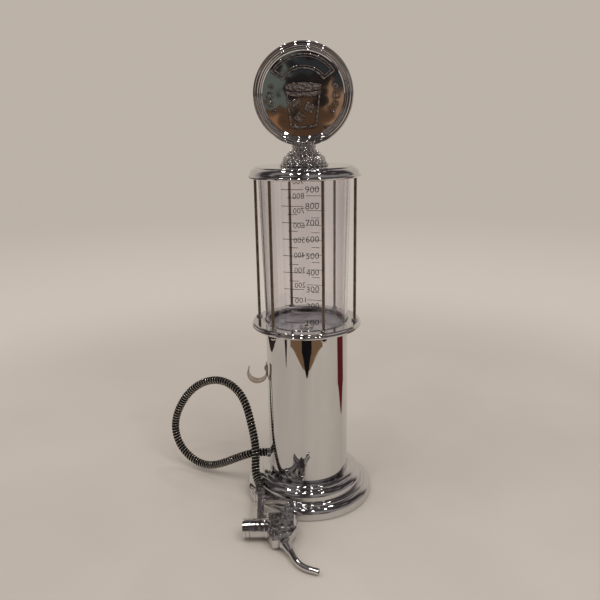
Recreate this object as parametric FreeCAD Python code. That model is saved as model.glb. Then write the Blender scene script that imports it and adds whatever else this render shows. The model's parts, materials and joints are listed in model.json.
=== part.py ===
import FreeCAD, Part
import math
import os

# A table-top drink dispenser in the shape of an old visible-glass fuel pump.
# Millimetres, +Z up, origin at the centre of the underside, the sign faces -Y.

V = FreeCAD.Vector
ORIGIN = V(0, 0, 0)
UP = V(0, 0, 1)
FINGERTIP = 0.05          # running clearance between parts that turn or slide

# ---- driving dimensions ------------------------------------------------------------------
PAD_RADIUS = 66.0
PAD_THICKNESS = 2.0
BASE_RADIUS = 71.0
BASE_RIM_BOTTOM = 0.6
BASE_RIM_HEIGHT = 6.0
BASE_WEB_TOP = 26.0
BASE_WEB_THICKNESS = 2.0
BASE_PLATE_THICKNESS = 1.6
BASE_BOSS_CIRCLE = 50.0
BASE_SCREW_COUNT = 3

COLUMN_RADIUS = 44.25
COLUMN_WALL = 1.5
COLUMN_TOP = 198.0
COLUMN_SCREW_CIRCLE = 38.0

RING_RADIUS = 57.4
RING_BOTTOM = COLUMN_TOP
RING_TOP = 204.0
RING_LEDGE = RING_BOTTOM + 0.8

ROD_COUNT = 6
ROD_RADIUS = 1.5
ROD_CIRCLE = 52.2
ROD_TURN = 19.3           # first rod, in degrees from -Y towards +X
ROD_FOOT = 193.6
ROD_HEAD = 361.0
ROD_CLEARANCE = 0.1

TANK_BOTTOM = 191.6
TANK_FLOOR = 194.4
TANK_SHOULDER = 200.0
TANK_TOP = 360.0
TANK_FOOT_RADIUS = 41.5
TANK_RADIUS = 43.8        # outer radius at the height of the floor
TANK_TAPER = 0.021        # growth of the radius per millimetre of height
TANK_WALL = 2.0

CAP_BOTTOM = 355.0
CAP_TOP = 366.0
CAP_RADIUS = 57.4
FILLER_RADIUS = 21.0
CAP_SKIN = 2.5

SIGN_RADIUS = 49.4
SIGN_HEIGHT = 434.8
SIGN_THICKNESS = 14.0
SIGN_FIELD_RADIUS = 40.2
SIGN_PLATE = 1.6
SIGN_RECESS = 2.2         # how far the plates sit inside the rim's faces
SIGN_RELIEF = 0.9

FITTING_HEIGHT = 43.5
FITTING_BORE = 1.5
BARB_RADIUS = 2.45
BARB_LENGTH = 6.0

HOOK_WIDTH = 12.0
HOOK_STRIP = 1.3
HOOK_RADIUS = 10.45
HOOK_CENTRE = V(-55.0, 0, 142.5)
HOOK_SCREW_HEIGHT = 147.0

HOSE_BORE = 2.5
HOSE_TUBE_RADIUS = 3.75
HOSE_ARMOUR_BORE = 3.8
HOSE_RADIUS = 4.6

NOZZLE_ORIGIN = V(-29.0, -94.5, 12.25)
NOZZLE_TILT = 8.5         # degrees that the spout end hangs below level
NOZZLE_HALF = 7.8         # half the thickness of the valve block
HANDLE_RADIUS = 5.4
HANDLE_TAIL = V(-44.0, -24.8, 0)
HANDLE_ROOT = V(-2.0, -22.9, 0)
SWIVEL_RADIUS = 2.9
SWIVEL_LENGTH = 7.5
FERRULE_RADIUS = 5.7
VALVE_AT = 3.4            # how far in front of the nozzle's origin the valve axis lies
BARREL_RADIUS = 9.5
BARREL_END = -31.3
BONNET_END = -38.9
CHAMBER_RADIUS = 5.5
SEAT_AT = -6.5
PORT_RADIUS = 3.0
GLAND_AT = -1.0
STEM_RADIUS = 1.45
STEM_END = 3.58
TRIGGER_PIVOT = V(11.0, 8.6, 0)
TRIGGER_WIDTH = 4.8
SPOUT_RADIUS = 3.1
SPOUT_BORE = 2.2
SPOUT_BEND = 25.0
SPOUT_TO_CORNER = 34.8    # from the block to where the spout's two straight lines would meet
CORNER_TO_TIP = 18.9

os.makedirs("parts", exist_ok=True)


def save(node, *solids):
    """Writes the node's solids to its own file."""
    shape = solids[0] if len(solids) == 1 else Part.makeCompound(list(solids))
    shape.exportStep("parts/" + node + ".step")


# ---- general shapes ----------------------------------------------------------------------
def closed_wire(steps, place):
    """Closed wire through the steps. A step is (u, v), reached by a line, or (u, v, rise),
    reached by an arc that bulges by rise to the right of the way it is drawn."""
    edges = []
    here = steps[-1][:2]
    for u, v, *rise in steps:
        if rise:
            length = math.hypot(u - here[0], v - here[1])
            middle = ((u + here[0]) / 2 + rise[0] * (v - here[1]) / length,
                      (v + here[1]) / 2 - rise[0] * (u - here[0]) / length)
            edges.append(Part.Arc(place(*here), place(*middle), place(u, v)).toShape())
        else:
            edges.append(Part.makeLine(place(*here), place(u, v)))
        here = (u, v)
    return Part.Wire(edges)


def turned(*steps):
    """Solid of revolution about Z from (radius, height) steps."""
    face = Part.Face(closed_wire(steps, lambda r, z: V(r, 0, z)))
    return face.revolve(ORIGIN, UP, 360)


def plate(steps, low, high):
    """Flat plate in the XY plane from (x, y) steps, from height low to high."""
    face = Part.Face(closed_wire(steps, lambda x, y: V(x, y, low)))
    return face.extrude(V(0, 0, high - low))


def ring(outer, inner, low, high):
    """Plain round ring about Z."""
    return turned((inner, low), (outer, low), (outer, high), (inner, high))


def rod(start, end, radius):
    """Round bar from start to end."""
    along = end - start
    return Part.makeCylinder(radius, along.Length, start, along)


def hexagon(across_flats, low, high):
    """Hexagonal prism about Z."""
    corner = across_flats / 2 / math.cos(math.pi / 6)
    turns = [k * math.pi / 3 for k in range(6)]
    return plate([(corner * math.cos(turn), corner * math.sin(turn)) for turn in turns], low, high)


def on_circle(solid, radius, count, first=0.0):
    """Copies of a solid made at the Z axis, spread on a circle; first is in degrees from -Y towards +X."""
    copies = []
    for k in range(count):
        angle = math.radians(first + 360 * k / count)
        copies.append(solid.translated(V(radius * math.sin(angle), -radius * math.cos(angle), 0)))
    return copies


def facing(solid, direction, place):
    """Turns a solid made along Z so that it points in a direction, and puts its origin at a place."""
    return solid.transformed(FreeCAD.Placement(place, FreeCAD.Rotation(UP, direction)).toMatrix(), True)


def swept(path, outer, inner):
    """Round tube along a path of edges."""
    wire = Part.Wire(path)
    start = path[0].valueAt(path[0].FirstParameter)
    along = path[0].tangentAt(path[0].FirstParameter)
    outside, inside = [wire.makePipeShell([Part.Wire([Part.makeCircle(radius, start, along)])], True, True)
                       for radius in (outer, inner)]
    return outside.cut(inside)


def smooth_path(points, first_way, last_way):
    """Smooth curve through the points, leaving and arriving in the given unit directions."""
    travelled = [0.0]
    for near, far in zip(points, points[1:]):
        travelled.append(travelled[-1] + near.distanceToPoint(far))
    curve = Part.BSplineCurve()
    curve.interpolate(Points=points, Parameters=travelled, InitialTangent=first_way, FinalTangent=last_way,
                      Scale=False)
    return curve.toShape()


# ---- base --------------------------------------------------------------------------------
PLATE_BOTTOM = PAD_THICKNESS
PLATE_TOP = PAD_THICKNESS + BASE_PLATE_THICKNESS
PLATE_RADIUS = BASE_RADIUS - 2.4
WEB_BOTTOM = BASE_WEB_TOP - BASE_WEB_THICKNESS


def base_shell():
    """Stepped base of four rolls, with a web that carries the column and bosses for the bottom plate."""
    pocket = COLUMN_RADIUS + 0.1
    shell = turned(
        (PLATE_RADIUS + 0.2, BASE_RIM_BOTTOM),
        (BASE_RADIUS, BASE_RIM_BOTTOM),
        (BASE_RADIUS, BASE_RIM_HEIGHT),
        (64.0, 12.8, 2.0),        # large lower roll
        (63.6, 12.6),
        (60.2, 14.4, 1.2),        # lower bead
        (59.8, 14.6),
        (59.8, 18.5),
        (53.4, 26.2, 2.0),        # upper roll
        (52.6, 26.2),
        (48.0, 29.0, 1.2),        # upper bead
        (46.4, 29.0),
        (46.4, 27.6),
        (pocket, 27.6),
        (pocket, BASE_WEB_TOP),
        (30.0, BASE_WEB_TOP),
        (30.0, WEB_BOTTOM),
        (51.8, WEB_BOTTOM),
        (57.4, 17.4, -1.6),
        (57.8, 12.4),
        (61.6, 11.0),
        (PLATE_RADIUS + 0.2, 5.4, -1.6),
    )
    boss = Part.makeCylinder(3.6, WEB_BOTTOM - PLATE_TOP, V(0, 0, PLATE_TOP))
    thread = Part.makeCylinder(1.5, 12.0, V(0, 0, PLATE_TOP))
    hole = Part.makeCylinder(2.2, BASE_WEB_THICKNESS, V(0, 0, WEB_BOTTOM))
    shell = shell.fuse(on_circle(boss, BASE_BOSS_CIRCLE, BASE_SCREW_COUNT)).removeSplitter()
    shell = shell.cut(on_circle(thread, BASE_BOSS_CIRCLE, BASE_SCREW_COUNT))
    return shell.cut(on_circle(hole, COLUMN_SCREW_CIRCLE, BASE_SCREW_COUNT, 60))


def base_plate():
    """Disc that closes the base, countersunk for its screws."""
    disc = Part.makeCylinder(PLATE_RADIUS, BASE_PLATE_THICKNESS, V(0, 0, PLATE_BOTTOM))
    sink = Part.makeCone(3.0, 1.5, BASE_PLATE_THICKNESS, V(0, 0, PLATE_BOTTOM))
    return disc.cut(on_circle(sink, BASE_BOSS_CIRCLE, BASE_SCREW_COUNT))


def base_screws():
    """Countersunk screws from the plate into the bosses."""
    head = Part.makeCone(3.0, 1.5, BASE_PLATE_THICKNESS, V(0, 0, PLATE_BOTTOM))
    screw = head.fuse(Part.makeCylinder(1.5, 10.0, V(0, 0, PLATE_TOP))).removeSplitter()
    return on_circle(screw, BASE_BOSS_CIRCLE, BASE_SCREW_COUNT)


# ---- column ------------------------------------------------------------------------------
COLUMN_BORE = COLUMN_RADIUS - COLUMN_WALL
FLANGE_TOP = BASE_WEB_TOP + 4.0


def column_tube():
    """Straight tube with the holes for the outlet fitting and the hook's screw, both on the -X side."""
    tube = ring(COLUMN_RADIUS, COLUMN_BORE, BASE_WEB_TOP, COLUMN_TOP)
    outlet = Part.makeCylinder(4.0, COLUMN_RADIUS, V(0, 0, FITTING_HEIGHT), V(-1, 0, 0))
    screw = Part.makeCylinder(1.6, COLUMN_RADIUS + 1, V(0, 0, HOOK_SCREW_HEIGHT), V(-1, 0, 0))
    return tube.cut([outlet, screw])


def column_flange():
    """Ring brazed inside the foot of the column, threaded for the screws that hold it to the base."""
    flange = ring(COLUMN_BORE, 33.0, BASE_WEB_TOP, FLANGE_TOP)
    thread = Part.makeCylinder(2.0, 4.0, V(0, 0, BASE_WEB_TOP))
    return flange.cut(on_circle(thread, COLUMN_SCREW_CIRCLE, BASE_SCREW_COUNT, 60))


def column_screws():
    """Screws up through the base's web into the column's flange."""
    shank = Part.makeCylinder(2.0, 6.0, V(0, 0, WEB_BOTTOM))
    screw = shank.fuse(Part.makeCylinder(3.5, 2.4, V(0, 0, WEB_BOTTOM - 2.4)))
    return on_circle(screw.removeSplitter(), COLUMN_SCREW_CIRCLE, BASE_SCREW_COUNT, 60)


# ---- tank, its ring and the tie rods -------------------------------------------------------
def tank_radius(height):
    """Outer radius of the tapered tank at a height."""
    return TANK_RADIUS + TANK_TAPER * (height - TANK_FLOOR)


def tank():
    """Clear tapered tumbler: a stepped foot drops into the ring, and the drain goes through its floor."""
    foot_bore = TANK_FOOT_RADIUS - TANK_WALL
    drain = 4.05
    return turned(
        (drain, TANK_BOTTOM),
        (TANK_FOOT_RADIUS - 1.0, TANK_BOTTOM),
        (TANK_FOOT_RADIUS, TANK_BOTTOM + 1.0, 0.29),
        (TANK_FOOT_RADIUS, TANK_SHOULDER),
        (tank_radius(TANK_SHOULDER), TANK_SHOULDER),
        (tank_radius(TANK_TOP), TANK_TOP),
        (tank_radius(TANK_TOP) - TANK_WALL, TANK_TOP),
        (tank_radius(TANK_SHOULDER + 2) - TANK_WALL, TANK_SHOULDER + 2),
        (foot_bore, TANK_SHOULDER - 1),
        (foot_bore, TANK_FLOOR + 1.5),
        (foot_bore - 1.5, TANK_FLOOR, 0.44),
        (drain, TANK_FLOOR),
    )


def tank_gasket():
    """Flat washer between the ring's ledge and the tank's shoulder."""
    return ring(43.8, 41.7, RING_LEDGE, TANK_SHOULDER)


def tank_ring():
    """Flanged ring on top of the column: two rolls on its rim, holes for the tie rods."""
    bore = tank_radius(RING_TOP) + 0.5
    body = turned(
        (41.7, RING_BOTTOM),
        (56.6, RING_BOTTOM),
        (57.6, RING_BOTTOM + 3.6, 1.6),       # lower lip
        (RING_RADIUS, RING_BOTTOM + 4.3),
        (55.9, RING_TOP, 0.5),                # upper roll
        (bore + 1.9, RING_TOP),
        (bore, RING_TOP, 0.9),                # bead against the tank
        (bore, RING_LEDGE),
        (41.7, RING_LEDGE),
    )
    hole = Part.makeCylinder(ROD_RADIUS + ROD_CLEARANCE, RING_TOP - RING_BOTTOM, V(0, 0, RING_BOTTOM))
    return body.cut(on_circle(hole, ROD_CIRCLE, ROD_COUNT, ROD_TURN))


def tie_rods():
    """Six rods that clamp the tank between the ring and the cap."""
    return on_circle(rod(V(0, 0, ROD_FOOT), V(0, 0, ROD_HEAD), ROD_RADIUS), ROD_CIRCLE, ROD_COUNT, ROD_TURN)


def rod_collars():
    """Small turned collars where the rods stand on the ring."""
    bore = ROD_RADIUS + ROD_CLEARANCE
    collar = turned((bore, RING_TOP), (3.4, RING_TOP), (3.4, RING_TOP + 1.4), (2.5, RING_TOP + 2.2, 0.25),
                    (bore, RING_TOP + 2.2))
    return on_circle(collar, ROD_CIRCLE, ROD_COUNT, ROD_TURN)


def acorn_nuts():
    """Domed nuts under the ring, one on the foot of each rod."""
    hex_height = 2.6
    hex_bottom = RING_BOTTOM - hex_height
    dome_radius = 2.7
    dome = turned((0, hex_bottom - dome_radius), (dome_radius, hex_bottom, 1.118), (0, hex_bottom))
    nut = hexagon(5.6, hex_bottom, RING_BOTTOM).fuse(dome).removeSplitter()
    nut = nut.cut(rod(V(0, 0, ROD_FOOT), V(0, 0, RING_BOTTOM), ROD_RADIUS))
    return on_circle(nut, ROD_CIRCLE, ROD_COUNT, ROD_TURN)


# ---- drain and outlet ----------------------------------------------------------------------
def drain_fitting():
    """Flanged tube through the tank's floor, barbed below for the inner tube."""
    return turned((2.2, 175.6), (3.0, 175.6), (3.0, 184.0), (4.0, 184.0), (4.0, TANK_FLOOR),
                  (8.0, TANK_FLOOR), (8.0, TANK_FLOOR + 1.0), (7.4, TANK_FLOOR + 1.6, 0.18),
                  (2.2, TANK_FLOOR + 1.6))


def drain_gasket():
    return ring(7.6, 4.1, TANK_BOTTOM - 1.0, TANK_BOTTOM)


def drain_nut():
    nut = hexagon(14.0, TANK_BOTTOM - 5.0, TANK_BOTTOM - 1.0)
    return nut.cut(rod(V(0, 0, TANK_BOTTOM - 5.0), V(0, 0, TANK_BOTTOM - 1.0), 4.0))


def outlet_fitting():
    """Collared fitting through the column's wall, with a barb at each end; made along Z, pointing at -X."""
    inside_end, shoulder, collar_face = 26.0, 36.0, COLUMN_RADIUS + 0.1
    body = turned((FITTING_BORE, inside_end), (2.9, inside_end), (2.9, shoulder), (3.9, shoulder),
                  (3.9, collar_face), (5.5, collar_face), (5.5, 46.4), (4.9, 47.2, 0.2),
                  (BARB_RADIUS, 47.2), (BARB_RADIUS, 47.2 + BARB_LENGTH), (FITTING_BORE, 47.2 + BARB_LENGTH))
    return facing(body, V(-1, 0, 0), V(0, 0, FITTING_HEIGHT))


def outlet_nut():
    nut = hexagon(12.0, 37.6, 41.8).cut(rod(V(0, 0, 37.6), V(0, 0, 41.8), 3.9))
    return facing(nut, V(-1, 0, 0), V(0, 0, FITTING_HEIGHT))


def inner_tube():
    """Soft tube inside the column, from the drain to the outlet."""
    start, end = V(0, 0, 183.8), V(-35.8, 0, FITTING_HEIGHT)
    down, out = V(0, 0, -1), V(-1, 0, 0)
    leave, arrive = start + down * 9.0, end - out * 10.5
    path = [Part.makeLine(start, leave), smooth_path([leave, V(-3, 0, 110), arrive], down, out),
            Part.makeLine(arrive, end)]
    return swept(path, 4.3, 3.05)


# ---- cap -----------------------------------------------------------------------------------
SEAL_HEIGHT = 1.5


def top_cap():
    """Turned cap: its rim takes the rods, a groove inside takes the tank, and the middle is the filler."""
    under = CAP_TOP - CAP_SKIN
    neck = FILLER_RADIUS + 2.4
    cap = turned(
        (48.3, CAP_BOTTOM),
        (56.6, CAP_BOTTOM),
        (56.6, CAP_BOTTOM + 2.9, 1.2),        # bottom lip
        (56.1, CAP_BOTTOM + 3.1),
        (51.2, 364.5, 1.2),                   # main roll
        (50.6, 364.7),
        (48.2, CAP_TOP, 0.5),                 # top bead
        (FILLER_RADIUS, CAP_TOP),
        (FILLER_RADIUS, CAP_BOTTOM),
        (neck, CAP_BOTTOM),
        (neck, under),
        (44.4, under),
        (44.4, TANK_TOP + SEAL_HEIGHT),
        (48.3, TANK_TOP + SEAL_HEIGHT),
    )
    socket = rod(V(0, 0, CAP_BOTTOM), V(0, 0, ROD_HEAD), ROD_RADIUS)
    return cap.cut(on_circle(socket, ROD_CIRCLE, ROD_COUNT, ROD_TURN))


def tank_top_seal():
    return ring(48.2, 44.6, TANK_TOP, TANK_TOP + SEAL_HEIGHT)


# ---- filler stopper and sign ---------------------------------------------------------------
SPIGOT_RADIUS = 8.0
STOPPER_BOTTOM = 354.0
FLANGE_BOTTOM = CAP_TOP + FINGERTIP
STUD_RADIUS = 2.0
STUD_BOTTOM, STUD_TOP = 374.0, 391.0
SCREW_TOP = 362.0


def filler_stopper():
    """Soft ring that plugs the filler; the finial's spigot turns in it."""
    outer = FILLER_RADIUS - FINGERTIP
    return turned((SPIGOT_RADIUS + FINGERTIP, STOPPER_BOTTOM), (outer - 1.5, STOPPER_BOTTOM),
                  (outer, STOPPER_BOTTOM + 3.0), (outer, CAP_TOP - 0.05),
                  (SPIGOT_RADIUS + FINGERTIP, CAP_TOP - 0.05))


def finial():
    """Turned post of beads and coves, slotted at the top for the edge of the sign."""
    post = turned(
        (0, STOPPER_BOTTOM),
        (SPIGOT_RADIUS, STOPPER_BOTTOM),
        (SPIGOT_RADIUS, FLANGE_BOTTOM),
        (24.0, FLANGE_BOTTOM),
        (23.8, 368.3, 0.9),       # flange bead
        (22.8, 368.4),
        (22.2, 370.4, 0.8),       # second bead
        (21.7, 370.6),
        (17.6, 376.8, 1.5),       # dome
        (16.8, 376.9),
        (15.9, 379.1, 0.8),
        (15.1, 379.2),
        (13.0, 381.7, 0.9),
        (12.2, 381.9),
        (11.7, 383.4, -0.2),      # waist
        (11.8, 385.6, 0.6),
        (11.9, 386.0),
        (13.4, 388.4, -0.4),      # flare
        (12.9, 389.8, 0.6),
        (0, 389.8),
    )
    slot = rod(V(0, -SIGN_THICKNESS / 2, SIGN_HEIGHT), V(0, SIGN_THICKNESS / 2, SIGN_HEIGHT),
               SIGN_RADIUS + 0.1)
    stud = rod(V(0, 0, STUD_BOTTOM), V(0, 0, STUD_TOP), STUD_RADIUS)
    screw = rod(V(0, 0, STOPPER_BOTTOM), V(0, 0, SCREW_TOP), 2.0)
    return post.cut([slot, stud, screw])


def stopper_washer():
    """Washer that keeps the stopper on the finial's spigot."""
    return ring(13.0, 2.05, STOPPER_BOTTOM - 1.2, STOPPER_BOTTOM - FINGERTIP)


def stopper_screw():
    head_top = STOPPER_BOTTOM - 1.2
    head = Part.makeCylinder(3.8, 2.4, V(0, 0, head_top - 2.4))
    return head.fuse(rod(V(0, 0, head_top), V(0, 0, SCREW_TOP - 1.0), 2.0)).removeSplitter()


def sign_stud():
    return rod(V(0, 0, STUD_BOTTOM), V(0, 0, STUD_TOP), STUD_RADIUS)


def to_sign(solid):
    """Moves a solid made about Z, its front towards +Z, to the sign, whose front faces -Y."""
    return facing(solid, V(0, -1, 0), V(0, 0, SIGN_HEIGHT))


def sign_rim():
    """Rolled rim of the sign with four beads on each face, drilled below for the stud."""
    half = SIGN_THICKNESS / 2
    inner = SIGN_FIELD_RADIUS
    front = turned(
        (inner, 0),
        (SIGN_RADIUS, 0),
        (SIGN_RADIUS, half - 2.4),
        (47.4, half - 0.9, 0.7),
        (47.0, half - 1.1),
        (44.4, half - 0.7, 0.65),
        (44.0, half - 1.1),
        (42.4, half - 1.2, 0.45),
        (42.0, half - 1.6),
        (40.9, half - 1.7, 0.3),
        (inner, half - SIGN_RECESS),
    )
    back = front.mirror(ORIGIN, UP)
    rim = to_sign(front.fuse(back).removeSplitter())
    return rim.cut(rod(V(0, 0, STUD_BOTTOM), V(0, 0, STUD_TOP), STUD_RADIUS))


def arched_bar(inner, outer, half_angle, low, high):
    """Piece of a flat ring, centred on the top of the sign."""
    a = math.radians(half_angle)
    wide, tall, sag = math.sin(a), math.cos(a), 1 - math.cos(a)
    return plate([(-inner * wide, inner * tall), (inner * wide, inner * tall, -inner * sag),
                  (outer * wide, outer * tall), (-outer * wide, outer * tall, outer * sag)], low, high)


def banner(low, high):
    """Blank arched banner with a raised double border."""
    frame = arched_bar(24.0, 38.0, 56, low, high).cut(arched_bar(25.3, 36.7, 53.6, low, high))
    inner = arched_bar(26.5, 35.5, 51.4, low, high - 0.3).cut(arched_bar(27.2, 34.8, 49.6, low, high))
    return [frame, inner]


def bubbles(low, high):
    """Small raised rings that climb both sides of the field, mirrored left and right."""
    rings = []
    for x, y, radius in ((33.0, -1.0, 3.4), (31.6, 7.5, 2.3), (32.0, -9.0, 2.6), (29.0, -16.0, 1.9)):
        for side in (-1, 1):
            rings.append(ring(radius, radius - 0.9, low, high).translated(V(side * x, y, 0)))
    return rings


def tumbler(low, high):
    """Plain drinking glass in relief with a banded rim and ice cubes."""
    top, bottom, wide, narrow = 9.0, -31.0, 17.5, 13.0
    glass = plate([(-narrow, bottom), (narrow, bottom, 1.5), (wide, top), (-wide, top, 2.2)], low, high)
    inside = plate([(-narrow + 1.6, bottom + 2.4), (narrow - 1.6, bottom + 2.4, 1.3),
                    (wide - 2.2, top - 9.5), (-wide + 2.2, top - 9.5, -1.8)], low + 0.3, high)
    groove = plate([(-wide, top - 5.4), (wide, top - 5.4, 1.8), (wide, top - 4.4), (-wide, top - 4.4, -1.8)],
                   low + 0.4, high)
    glass = glass.cut([inside, groove])
    cubes = []
    for x, y, turn in ((-6.5, -8.0, 18), (5.5, -12.5, -24), (-4.0, -21.5, 52)):
        cube = plate([(-4, -4), (4, -4), (4, 4), (-4, 4)], low, high - 0.1)
        hollow = plate([(-2.9, -2.9), (2.9, -2.9), (2.9, 2.9), (-2.9, 2.9)], high - 0.5, high)
        cube = cube.cut(hollow)
        cubes.append(cube.rotated(ORIGIN, UP, turn).translated(V(x, y, 0)))
    return [glass, *cubes]


def sign_front():
    """Front plate of the sign with its relief."""
    face = SIGN_THICKNESS / 2 - SIGN_RECESS
    low, high = face - 0.2, face + SIGN_RELIEF
    disc = Part.makeCylinder(SIGN_FIELD_RADIUS, SIGN_PLATE, V(0, 0, face - SIGN_PLATE))
    relief = banner(low, high) + bubbles(low, high) + tumbler(low, high)
    return to_sign(disc.fuse(relief).removeSplitter())


def sign_back():
    """Back plate of the sign, plain but for a raised ring."""
    face = SIGN_THICKNESS / 2 - SIGN_RECESS
    disc = Part.makeCylinder(SIGN_FIELD_RADIUS, SIGN_PLATE, V(0, 0, -face))
    bead = ring(34.0, 32.6, -face - 0.7, -face + 0.2)
    return to_sign(disc.fuse(bead).removeSplitter())


# ---- hook ----------------------------------------------------------------------------------
def hook():
    """Flat strip bent to a J, its leg against the column."""
    inner, outer = HOOK_RADIUS - HOOK_STRIP / 2, HOOK_RADIUS + HOOK_STRIP / 2

    def at(radius, degrees):
        a = math.radians(degrees)
        return HOOK_CENTRE + V(radius * math.cos(a), 0, radius * math.sin(a)) - V(0, HOOK_WIDTH / 2, 0)

    root, bottom, tip = -17, -95, -205
    edges = [
        Part.Arc(at(outer, root), at(outer, bottom), at(outer, tip)).toShape(),
        Part.Arc(at(outer, tip), at(HOOK_RADIUS, tip - 3.5), at(inner, tip)).toShape(),
        Part.Arc(at(inner, tip), at(inner, bottom), at(inner, root)).toShape(),
        Part.makeLine(at(inner, root), at(outer, root)),
    ]
    bend = Part.Face(Part.Wire(edges)).extrude(V(0, HOOK_WIDTH, 0))
    leg_face = -COLUMN_RADIUS - 0.05
    leg = Part.makeBox(HOOK_STRIP, HOOK_WIDTH, 14.0, V(leg_face - HOOK_STRIP, -HOOK_WIDTH / 2, 138.6))
    hole = Part.makeCylinder(1.6, 4.0, V(leg_face + 1, 0, HOOK_SCREW_HEIGHT), V(-1, 0, 0))
    return bend.fuse(leg).removeSplitter().cut(hole)


def hook_screw():
    """Pan-head screw through the hook's leg and the column; made along Z, pointing at -X."""
    seat = COLUMN_RADIUS + 0.05 + HOOK_STRIP
    screw = turned((0, 36.0), (ROD_RADIUS, 36.0), (ROD_RADIUS, seat), (2.8, seat), (2.8, seat + 0.8),
                   (1.5, seat + 1.7, 0.2), (1.0, seat + 1.7), (1.0, seat + 0.7), (0, seat + 0.7))
    return facing(screw, V(-1, 0, 0), V(0, 0, HOOK_SCREW_HEIGHT))


def hook_nut():
    nut = hexagon(5.5, 39.6, 42.2).cut(rod(V(0, 0, 39.6), V(0, 0, 42.2), ROD_RADIUS))
    return facing(nut, V(-1, 0, 0), V(0, 0, HOOK_SCREW_HEIGHT))


# ---- nozzle: made flat, x towards the spout, y towards the trigger guard, then laid down ----
SWIVEL_WAY = (HANDLE_ROOT - HANDLE_TAIL).normalize()
HOSE_END = HANDLE_TAIL - SWIVEL_WAY * (SWIVEL_LENGTH + 0.5)
SPOUT_WAY = V(0.9, 0.436, 0).normalize()
SPOUT_ROOT = V(22.5, 4.2, 0)
SPOUT_TIP_WAY = V(math.cos(math.radians(70)), math.sin(math.radians(70)), 0)
SPOUT_CORNER = SPOUT_ROOT + SPOUT_WAY * SPOUT_TO_CORNER
SPOUT_TIP = SPOUT_CORNER + SPOUT_TIP_WAY * CORNER_TO_TIP


def lay_down(solid):
    """Puts a piece of the nozzle on the floor beside the base, guard to the right."""
    tilt = math.radians(NOZZLE_TILT)
    forward = V(0, -math.cos(tilt), -math.sin(tilt))
    side = V(0, -math.sin(tilt), math.cos(tilt))
    across = V(1, 0, 0)
    place = FreeCAD.Matrix(forward.x, across.x, side.x, NOZZLE_ORIGIN.x,
                           forward.y, across.y, side.y, NOZZLE_ORIGIN.y,
                           forward.z, across.z, side.z, NOZZLE_ORIGIN.z, 0, 0, 0, 1)
    return solid.transformed(place, True)


def laid_point(point):
    """Where a point of the flat nozzle lands when it is laid down."""
    return lay_down(Part.Vertex(point)).Point


def valve_turned(*steps):
    """Turned piece on the valve axis; heights run from the bonnet (-) to the trigger (+)."""
    return facing(turned(*steps), V(0, 1, 0), V(VALVE_AT, 0, 0))


def valve_bore(radius, low, high):
    return rod(V(VALVE_AT, low, 0), V(VALVE_AT, high, 0), radius)


def chamfered(solid, size):
    """Breaks every edge of the top and bottom faces of a plate."""
    high, low = solid.BoundBox.ZMax, solid.BoundBox.ZMin
    flat = [e for e in solid.Edges if e.BoundBox.ZLength < 1e-6 and
            min(abs(e.BoundBox.ZMin - high), abs(e.BoundBox.ZMin - low)) < 1e-6]
    return solid.makeChamfer(size, flat)


def nozzle_body():
    """Casting: faceted valve block, barrel, handle and trigger guard, with its bores."""
    block = chamfered(plate([(-13, -16), (8, -16), (26, -7.5), (25.6, -2.1), (19.4, 10.5), (8, 16.2),
                             (-9, 16.2), (-13, 10)], -NOZZLE_HALF, NOZZLE_HALF), 3.0)
    guard = chamfered(plate([(-40, -24), (0, -24), (0, 16.8), (-10, 16.8), (-20, 15.9), (-27, 13.9),
                             (-32.5, 10.8), (-36.5, 6.5), (-39.2, 1.5), (-40, -4)], -2.6, 2.6), 0.9)
    window = plate([(-34.8, -30), (-13, -30), (-13, 10.4), (-24.6, 9.8), (-31.2, 6.2, 0.7),
                    (-34.8, -3.0, 0.6)], -4, 4)
    barrel = valve_turned((0, BARREL_END), (BARREL_RADIUS - 0.5, BARREL_END),
                          (BARREL_RADIUS, BARREL_END + 0.5), (BARREL_RADIUS, -16.6), (10.1, -16.0),
                          (10.1, -12.0), (8.6, -10.0), (0, -10.0))
    grip = rod(HANDLE_TAIL, HANDLE_ROOT, HANDLE_RADIUS)
    tail = rod(HANDLE_TAIL - SWIVEL_WAY * SWIVEL_LENGTH, HANDLE_TAIL, SWIVEL_RADIUS)
    casting = block.fuse([guard.cut(window), barrel, grip, tail]).removeSplitter()
    spout_line = SPOUT_ROOT - SPOUT_WAY * 5.0
    bores = [
        rod(HANDLE_TAIL - SWIVEL_WAY * SWIVEL_LENGTH, HANDLE_ROOT, 1.8),
        valve_bore(CHAMBER_RADIUS, BARREL_END, SEAT_AT),
        valve_bore(PORT_RADIUS, SEAT_AT, GLAND_AT),
        valve_bore(STEM_RADIUS + 0.1, GLAND_AT, 3.0),
        rod(SPOUT_ROOT - SPOUT_WAY * 20.4, spout_line, 1.8),
        rod(spout_line, SPOUT_ROOT + SPOUT_WAY * 6.0, SPOUT_RADIUS + FINGERTIP),
        plate([(-14, -6.0), (4.0, 1.2), (14.5, 5.0), (14.5, 11.6), (10.5, 12.6), (6, 12.6), (-6, 10.0),
               (-14, 10.0)], -TRIGGER_WIDTH / 2 - 0.3, TRIGGER_WIDTH / 2 + 0.3),
        rod(TRIGGER_PIVOT - V(0, 0, NOZZLE_HALF), TRIGGER_PIVOT + V(0, 0, NOZZLE_HALF), 1.25),
    ]
    return lay_down(casting.cut(bores))


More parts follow.
